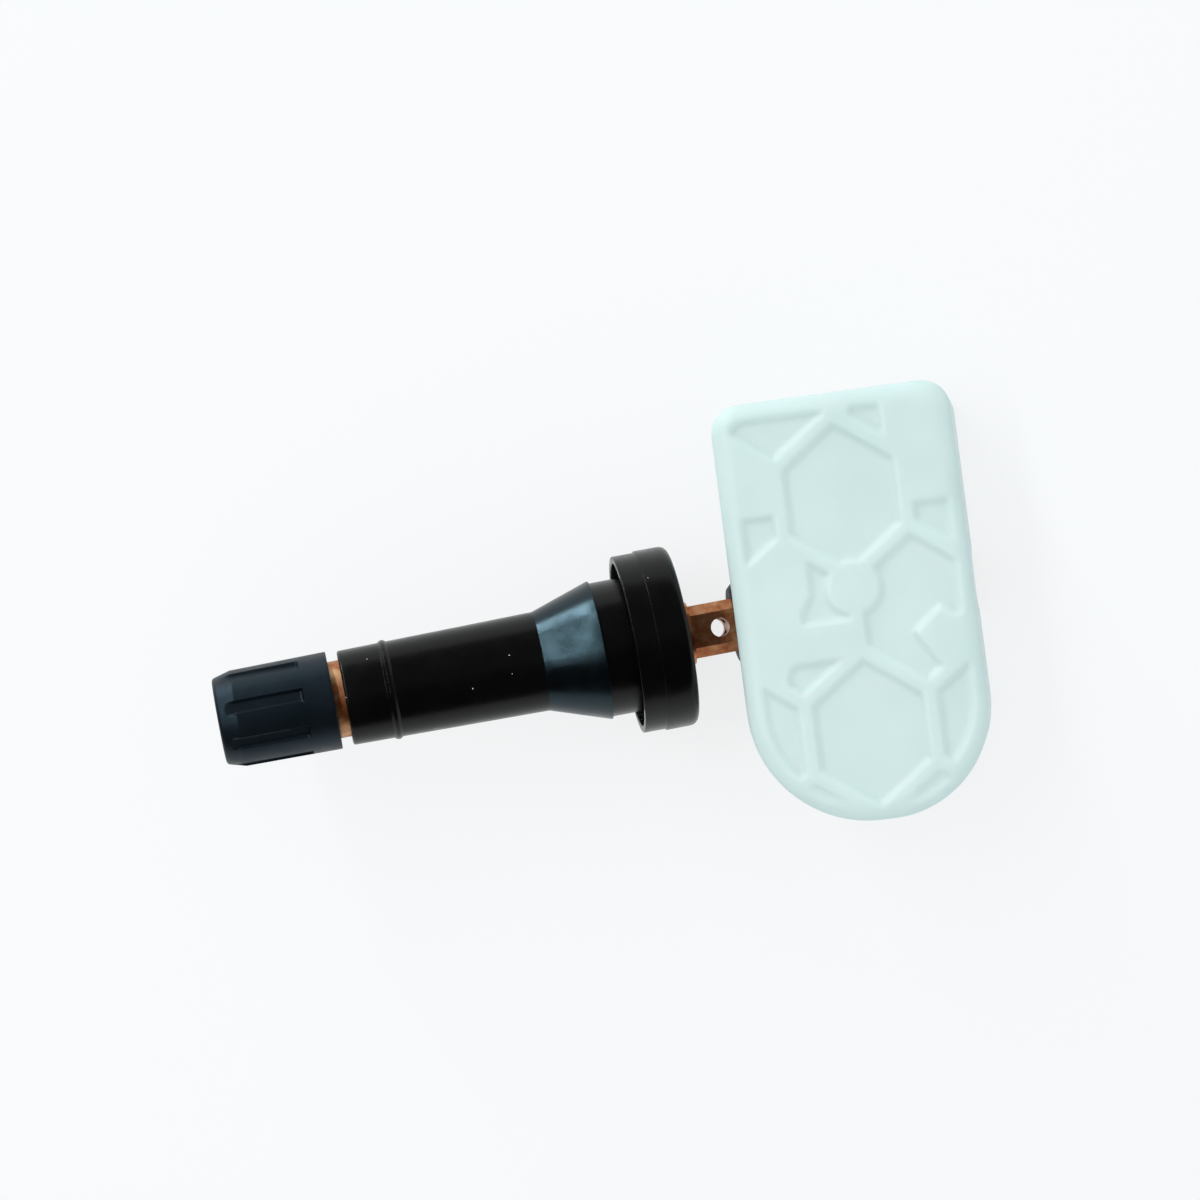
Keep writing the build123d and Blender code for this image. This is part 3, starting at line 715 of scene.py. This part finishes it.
def specks(m, spacing_mm, size):
    """Mask of small round specks at points of a random lattice, of which the surface cuts few."""
    cells = m.add("ShaderNodeTexVoronoi")
    cells.inputs["Scale"].default_value = 1.0 / (spacing_mm * MM)
    m.link(m.place, cells.inputs["Vector"])
    dot = m.add("ShaderNodeMath", operation="LESS_THAN")
    dot.inputs[1].default_value = size
    m.link(cells.outputs["Distance"], dot.inputs[0])
    return dot.outputs["Value"]


def cap_plastic(name):
    """Dark blue-black cap plastic, satin, with light handling scuffs and a painted blue reflection
    in its gloss.
    """
    m = Nodes(name)
    shades = [(0.3, (0.002, 0.003, 0.004)), (0.75, (0.004, 0.005, 0.007))]
    m.colour(m.ramp(m.noise(4.0), shades))
    m.roughness(m.spread(m.noise(1.2), 0.38, 0.48))
    # The blue Specular Tint is a painted reflection: it turns all of the cap's gloss blue
    m.set(Specular_IOR_Level=0.4, Specular_Tint=(0.45, 0.75, 1.0, 1.0))
    m.bump(m.noise(0.2, 3.0), 0.004)
    return m.material


def brass(name, dark, light, worn):
    """Turned and milled brass with uneven tarnish and fine tool marks."""
    m = Nodes(name)
    m.colour(m.ramp(m.noise(1.3, 6.0, 0.65), [(0.30, dark), (0.55, light), (0.78, worn)]))
    m.roughness(m.spread(m.noise(0.8), 0.28, 0.46))
    m.set(Metallic=1.0)
    m.bump(m.noise(0.12, 2.0, 0.5, (0.15, 1.0, 1.0)), 0.006)
    return m


def stem_brass(name):
    """Tarnished brass, brighter and duller in gloss at the thread, which the cap covers."""
    m = brass(name, (0.30, 0.080, 0.032), (0.48, 0.20, 0.09), (0.66, 0.42, 0.25))
    thread = station_mask(m, STEM_MOUTH - THREAD_MARGIN, SLEEVE_TIP + THREAD_MARGIN)
    patina = m.shader.inputs["Base Color"].links[0].from_socket
    patches = [(0.36, (0.44, 0.15, 0.055)), (0.62, (0.74, 0.48, 0.27))]
    bright = m.ramp(m.noise(2.4, 3.0), patches)
    m.colour(m.mix(thread, patina, bright))
    satin = m.add("ShaderNodeMath", operation="MULTIPLY_ADD")
    satin.inputs[1].default_value = THREAD_SATIN
    m.link(thread, satin.inputs[0])
    m.link(m.shader.inputs["Roughness"].links[0].from_socket, satin.inputs[2])
    m.roughness(satin.outputs["Value"])
    return m.material


def steel(name, dark, light):
    """Plain bright or plated metal with a brushed grain."""
    m = Nodes(name)
    m.colour(m.ramp(m.noise(1.5), [(0.3, dark), (0.7, light)]))
    m.roughness(m.spread(m.noise(0.6), 0.25, 0.4))
    m.set(Metallic=1.0)
    m.bump(m.noise(0.1, 2.0, 0.5, (1.0, 0.1, 1.0)), 0.004)
    return m.material


def moulded(name, dark, light, low=0.4, high=0.6, gloss=0.5):
    """Plain moulded or cast surface with a fine grain."""
    m = Nodes(name)
    m.set(Specular_IOR_Level=gloss)
    m.colour(m.ramp(m.noise(1.8, 4.0), [(0.3, dark), (0.7, light)]))
    m.roughness(m.spread(m.noise(0.7), low, high))
    m.bump(m.noise(0.15, 3.0), 0.005)
    return m.material


def wound_wire(name):
    """Lacquered copper winding, with the wires across the coil's length."""
    m = Nodes(name)
    wires = m.add("ShaderNodeTexWave", bands_direction="Y")
    wires.inputs["Scale"].default_value = 1.0 / (WIRE_BAND * MM)
    m.link(m.place, wires.inputs["Vector"])
    shades = [(0.1, (0.16, 0.05, 0.02)), (0.8, (0.62, 0.26, 0.1))]
    m.colour(m.ramp(wires.outputs["Fac"], shades))
    m.roughness(m.spread(m.noise(0.5), 0.25, 0.4))
    m.set(Metallic=1.0)
    m.bump(wires.outputs["Fac"], 0.04)
    return m.material


def paint(piece, material):
    piece.data.materials.clear()
    piece.data.materials.append(material)


def dress_nodes():
    """Materials of the CAD nodes that stay as they are."""
    core_tones = [(0.42, 0.27, 0.10), (0.62, 0.43, 0.18), (0.70, 0.52, 0.26)]
    core = brass("core_brass", *core_tones).material
    seal = moulded("seal_rubber", (0.012, 0.012, 0.012), (0.03, 0.03, 0.03))
    tab = steel("tab_steel", (0.42, 0.41, 0.38), (0.58, 0.57, 0.54))
    collar = moulded("collar_plastic", (0.002, 0.002, 0.002), (0.004, 0.004, 0.005), gloss=0.2)
    laminate = moulded("board_laminate", (0.02, 0.14, 0.05), (0.04, 0.22, 0.09), 0.25, 0.4)
    resin = moulded("potting_resin", (0.03, 0.03, 0.03), (0.06, 0.06, 0.06), 0.2, 0.35)
    looks = {
        "cap_seal": seal,
        "core_plug": core,
        "core_barrel": core,
        "core_gasket": seal,
        "core_pin": core,
        "core_cup": core,
        "core_washer": seal,
        "stem_collar": collar,
        "sensor_screw": steel("screw_steel", (0.45, 0.45, 0.46), (0.6, 0.6, 0.61)),
        "housing_base": mint_plastic("base_plastic"),
        "circuit_board": laminate,
        "coin_cell": steel("cell_steel", (0.52, 0.52, 0.52), (0.66, 0.66, 0.66)),
        "battery_tab_top": tab,
        "battery_tab_bottom": tab,
        "radio_antenna": tab,
        "sensor_chip": moulded("chip_resin", (0.012, 0.012, 0.012), (0.026, 0.026, 0.026)),
        "port_gasket": seal,
        "timing_crystal": steel("can_steel", (0.55, 0.55, 0.56), (0.7, 0.7, 0.71)),
        "wake_coil_core": moulded("ferrite", (0.02, 0.02, 0.024), (0.04, 0.04, 0.045)),
        "wake_coil_winding": wound_wire("winding"),
        "chip_capacitors": moulded("capacitor_ceramic", (0.38, 0.27, 0.16), (0.5, 0.38, 0.24)),
        "potting_fill": resin,
    }
    for node, material in looks.items():
        paint(nodes[node], material)


# Studio, in metres. A sky is a list of shares,
# each an axis, (direction, level) stops along it and a colour.

FLOOR_HALF = 1.5
FLOOR_GAP = 2e-5
FLOOR_COLOUR = (0.72, 0.79, 0.83)
FLOOR_GLOW = 0.78
AMBIENT = [
    ("X", [(-1.0, 0.25), (0.0, 0.66), (1.0, 0.66)], (1.0, 0.99, 0.98)),
    ("Y", [(-1.0, 0.17), (0.0, 0.13), (1.0, 0.0)], (0.93, 0.98, 1.0)),
    ("Z", [(0.0, 0.12), (0.3, 0.10), (0.7, 0.0)], (0.30, 0.80, 1.0)),
]
BACKDROP = [
    ("Z", [(0.0, 0.84), (0.08, 0.84), (0.25, 0.0)], (1.0, 1.0, 1.0)),
    ("Y", [(-1.0, 0.02), (-0.2, 0.03), (0.1, 0.12), (0.8, 0.14), (1.0, 0.18)], (0.95, 0.98, 1.0)),
]
# Area lamps: name, direction from the part, size, power and colour
LAMP_DISTANCE = 0.60
LAMPS = [
    ("key_light", (-0.40, 0.47, 0.79), (0.040, 0.74), 1.5, (1.0, 0.99, 0.98)),
    ("key_end", (-0.37, -0.12, 0.92), (0.040, 0.20), 0.13, (1.0, 0.99, 0.98)),
    ("window", (-0.42, 0.89, 0.17), (0.05, 0.26), 0.90, (0.96, 0.98, 1.0)),
]


def scaled(tree, source, factor):
    """A number socket times a constant."""
    node = tree.nodes.new("ShaderNodeMath")
    node.operation = "MULTIPLY"
    node.inputs[1].default_value = factor
    tree.links.new(source, node.inputs[0])
    return node.outputs["Value"]


def mixed(tree, factor, first, second):
    """Shader mixed by a factor."""
    node = tree.nodes.new("ShaderNodeMixShader")
    tree.links.new(factor, node.inputs["Fac"])
    tree.links.new(first, node.inputs[1])
    tree.links.new(second, node.inputs[2])
    return node.outputs["Shader"]


def seen_rays(tree):
    """1 for camera, glossy and transmission rays, which all show the same background."""
    path = tree.nodes.new("ShaderNodeLightPath")
    total = path.outputs["Is Camera Ray"]
    for kind in ("Is Glossy Ray", "Is Transmission Ray"):
        either = tree.nodes.new("ShaderNodeMath")
        either.operation = "MAXIMUM"
        tree.links.new(total, either.inputs[0])
        tree.links.new(path.outputs[kind], either.inputs[1])
        total = either.outputs["Value"]
    return total


def floor():
    """White table top that keeps a soft shadow."""
    mesh = bpy.data.meshes.new("floor")
    z = cad_box[0].z - FLOOR_GAP
    corners = [(-1, -1), (1, -1), (1, 1), (-1, 1)]
    mesh.from_pydata([(x * FLOOR_HALF, y * FLOOR_HALF, z) for x, y in corners], [], [(0, 1, 2, 3)])
    table = bpy.data.objects.new("floor", mesh)
    bpy.context.scene.collection.objects.link(table)
    material = bpy.data.materials.new("floor_white")
    material.use_nodes = True
    tree = material.node_tree
    tree.nodes.clear()
    diffuse = tree.nodes.new("ShaderNodeBsdfDiffuse")
    diffuse.inputs["Color"].default_value = (*FLOOR_COLOUR, 1)
    glow = tree.nodes.new("ShaderNodeEmission")
    bright = scaled(tree, seen_rays(tree), FLOOR_GLOW)
    out = tree.nodes.new("ShaderNodeOutputMaterial")
    shader = mixed(tree, bright, diffuse.outputs["BSDF"], glow.outputs["Emission"])
    tree.links.new(shader, out.inputs["Surface"])
    paint(table, material)


def sky_share(tree, source, levels, colour):
    """Light over one direction of the sky, as (direction from -1 to 1, level) stops."""
    share = tree.nodes.new("ShaderNodeMapRange")
    share.inputs["From Min"].default_value = -1.0
    node = tree.nodes.new("ShaderNodeValToRGB")
    ramp = node.color_ramp
    ramp.interpolation = "EASE"
    while len(ramp.elements) < len(levels):
        ramp.elements.new(0.5)
    for element, (direction, level) in zip(ramp.elements, levels):
        element.position = (direction + 1) / 2
        element.color = (*(level * c for c in colour), 1)
    tree.links.new(source, share.inputs["Value"])
    tree.links.new(share.outputs["Result"], node.inputs["Fac"])
    background = tree.nodes.new("ShaderNodeBackground")
    tree.links.new(node.outputs["Color"], background.inputs["Color"])
    return background.outputs["Background"]


def sky(tree, looks):
    """Sum of shares of light over the sky's directions."""
    place = tree.nodes.new("ShaderNodeTexCoord")
    parts = tree.nodes.new("ShaderNodeSeparateXYZ")
    tree.links.new(place.outputs["Generated"], parts.inputs["Vector"])
    shares = []
    for axis, levels, colour in looks:
        shares.append(sky_share(tree, parts.outputs[axis], levels, colour))
    total = shares[0]
    for share in shares[1:]:
        both = tree.nodes.new("ShaderNodeAddShader")
        tree.links.new(total, both.inputs[0])
        tree.links.new(share, both.inputs[1])
        total = both.outputs["Shader"]
    return total


def world():
    """Soft light from all round, and a backdrop that is pale at the horizon and dim overhead."""
    scene_world = bpy.data.worlds.new("studio")
    scene_world.use_nodes = True
    tree = scene_world.node_tree
    tree.nodes.clear()
    out = tree.nodes.new("ShaderNodeOutputWorld")
    shader = mixed(tree, seen_rays(tree), sky(tree, AMBIENT), sky(tree, BACKDROP))
    tree.links.new(shader, out.inputs["Surface"])
    bpy.context.scene.world = scene_world


def softbox(name, direction, size, power, colour):
    """Area lamp that looks at the part's middle, its long side in an upright plane along Y."""
    lamp = bpy.data.lights.new(name, "AREA")
    lamp.shape = "RECTANGLE"
    lamp.size, lamp.size_y = size
    lamp.energy = power
    lamp.color = colour
    holder = bpy.data.objects.new(name, lamp)
    towards = Vector(direction).normalized()
    across = Vector((1, 0, 0)) - towards * towards.x
    across.normalize()
    place = Matrix((across, towards.cross(across), towards)).transposed().to_4x4()
    place.translation = (cad_box[0] + cad_box[1]) / 2 + towards * LAMP_DISTANCE
    holder.matrix_world = place
    bpy.context.scene.collection.objects.link(holder)


def camera():
    lens = bpy.data.cameras.new("camera")
    lens.sensor_width = SENSOR
    lens.lens = SENSOR * FOCAL_WIDTHS
    lens.clip_start = CLIP_START
    holder = bpy.data.objects.new("camera", lens)
    back = -Vector(CAMERA_VIEW).normalized()
    up = Vector(CAMERA_UP)
    right = up.cross(back).normalized()
    up = back.cross(right)
    place = Matrix((right, up, back)).transposed().to_4x4()
    place.translation = Vector(CAMERA_AT) * MM
    holder.matrix_world = place
    bpy.context.scene.collection.objects.link(holder)
    bpy.context.scene.camera = holder


def build():
    paint(housing_shell(), mint_plastic("housing_plastic"))
    paint(rubber_body(), rubber("valve_rubber"))
    paint(valve_cap(), cap_plastic("cap_plastic"))
    paint(valve_stem(), stem_brass("brass"))
    paint(core_spring(), steel("spring_steel", (0.42, 0.42, 0.43), (0.58, 0.58, 0.59)))
    dress_nodes()
    floor()
    world()
    for lamp in LAMPS:
        softbox(*lamp)
    camera()


build()
bpy.context.scene.view_settings.view_transform = "Standard"
